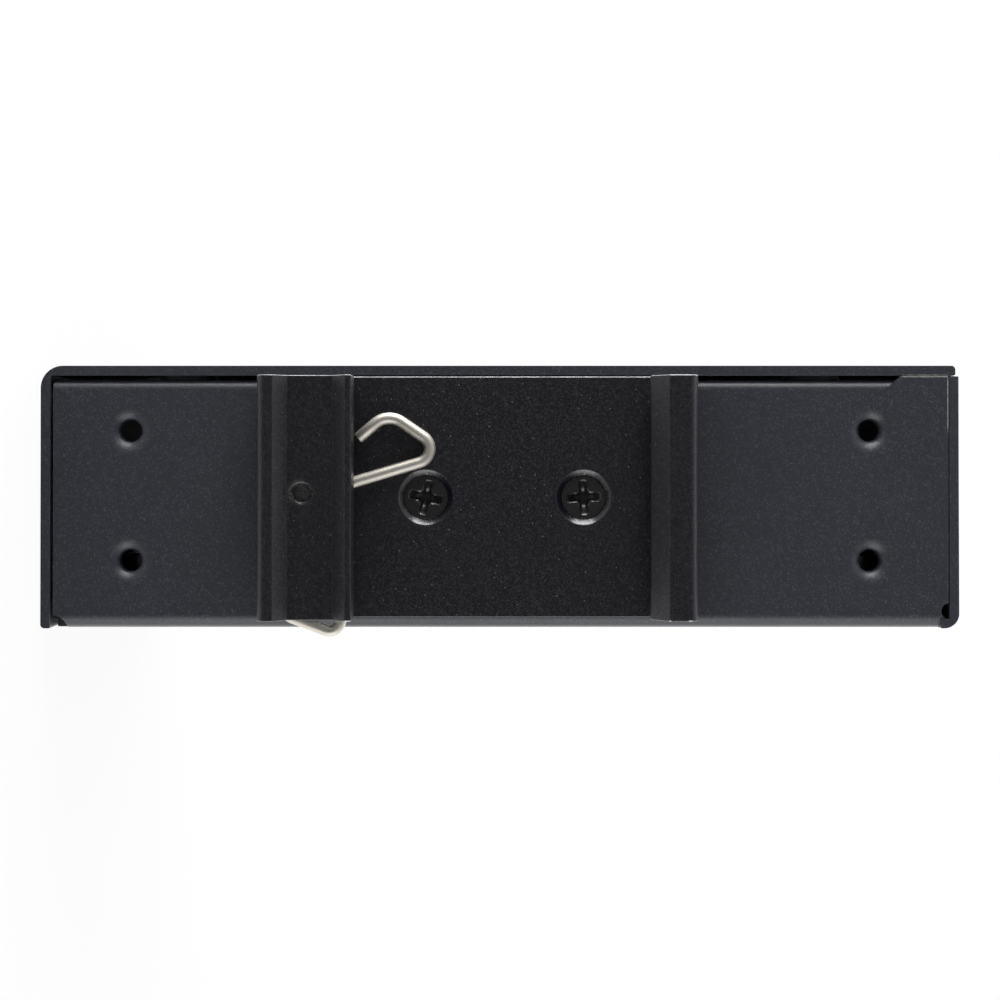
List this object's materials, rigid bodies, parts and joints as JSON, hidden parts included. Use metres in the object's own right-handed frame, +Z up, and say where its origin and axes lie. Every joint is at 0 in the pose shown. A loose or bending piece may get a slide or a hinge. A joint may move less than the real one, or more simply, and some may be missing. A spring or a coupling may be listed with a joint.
{
  "type": "poe splitter",
  "caption": "Slim black folded-steel PoE splitter with jacks and lamps in front, a power socket in the top end, and an extruded rail bracket with a wire spring on its back.",
  "frame": {"origin": "middle of the rail's seat, on the face of the bracket's plate", "axes": "+Z up as it hangs on a level rail, +Y out of the front with the jacks, +X along the rail towards the chassis' large side"},
  "size_m": [0.0304, 0.0789, 0.1041],
  "materials": {
    "case_steel": "black fine-grain powder coat",
    "black_anodised": "black anodised extrusion",
    "spring_wire": "drawn and plated wire",
    "black_screw": "black oxide",
    "zinc_screw": "zinc plated",
    "board": "solder mask on glass laminate",
    "tinplate": "tinned sheet",
    "jack_insulator": "moulded",
    "gold_contact": "gold plated",
    "socket_green": "moulded",
    "lamp_epoxy": "cast",
    "clear_pipe": "moulded clear",
    "black_moulding": "moulded",
    "capacitor_sleeve": "shrunk sleeve on an aluminium can",
    "ferrite": "fired and ground ferrite",
    "bobbin": "moulded",
    "winding_tape": "polyester tape over copper"
  },
  "bodies": {
    "root": {"chassis": "case_steel", "cover": "case_steel", "din_bracket": "black_anodised", "rail_spring": "spring_wire", "bracket_screws": "black_screw", "cover_screws": "black_screw", "pcb": "board", "pcb_standoffs": "zinc_screw", "pcb_screws": "zinc_screw", "poe_jack_shield": "tinplate", "poe_jack_insert": "jack_insulator", "poe_jack_contacts": "gold_contact", "data_jack_shield": "tinplate", "data_jack_insert": "jack_insulator", "data_jack_contacts": "gold_contact", "dc_out_header": "socket_green", "dc_out_pins": "tinplate", "led_lamps": "lamp_epoxy", "light_pipes": "clear_pipe", "line_transformers": "black_moulding", "bridge_rectifiers": "black_moulding", "surge_suppressor": "black_moulding", "pd_controller": "black_moulding", "input_capacitors": "capacitor_sleeve", "output_capacitors": "capacitor_sleeve", "transformer_core": "ferrite", "transformer_bobbin": "bobbin", "transformer_winding": "winding_tape", "power_mosfet": "black_moulding", "output_rectifier": "black_moulding", "output_inductor": "ferrite", "optocoupler": "black_moulding"}
  },
  "joints": []
}
